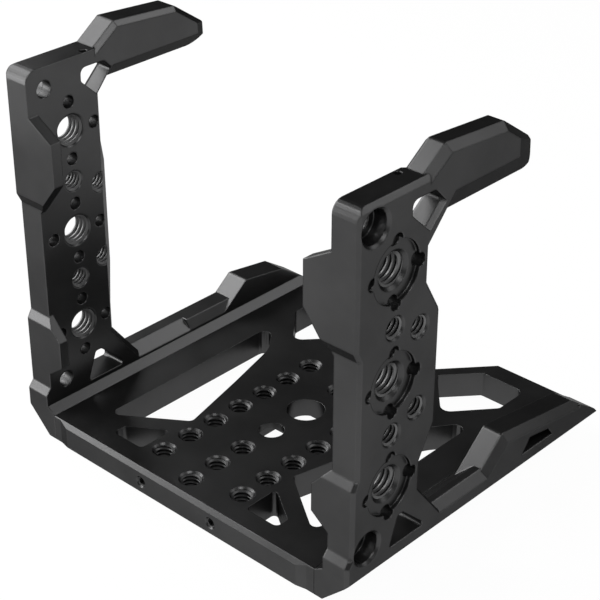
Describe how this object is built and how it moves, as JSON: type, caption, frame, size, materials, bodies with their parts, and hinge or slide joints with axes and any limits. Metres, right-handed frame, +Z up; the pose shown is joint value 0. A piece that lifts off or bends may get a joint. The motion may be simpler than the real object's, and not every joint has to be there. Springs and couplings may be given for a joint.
{
  "type": "camera cage",
  "caption": "Open two-sided cage for a box camera: tapped, windowed floor plate between side plates with front posts, rear-reaching arms and low rails",
  "frame": {"origin": "middle of the underside, half way between the front and rear edges", "axes": "+X across the cage to the right plate as seen from the front, +Y from front to rear, +Z up"},
  "size_m": [0.1326, 0.1178, 0.1264],
  "materials": {
    "anodised": "satin black anodised",
    "fastener": "blackened steel",
    "pin": "ground steel"
  },
  "bodies": {
    "root": {"base_plate": "anodised", "left_side_plate": "anodised", "right_side_plate": "anodised", "left_screw_1": "fastener", "left_screw_2": "fastener", "left_screw_3": "fastener", "left_screw_4": "fastener", "left_screw_5": "fastener", "left_screw_6": "fastener", "right_screw_1": "fastener", "right_screw_2": "fastener", "right_screw_3": "fastener", "right_screw_4": "fastener", "right_screw_5": "fastener", "right_screw_6": "fastener", "left_front_dowel": "pin", "left_rear_dowel": "pin", "right_front_dowel": "pin", "right_rear_dowel": "pin"}
  },
  "joints": []
}
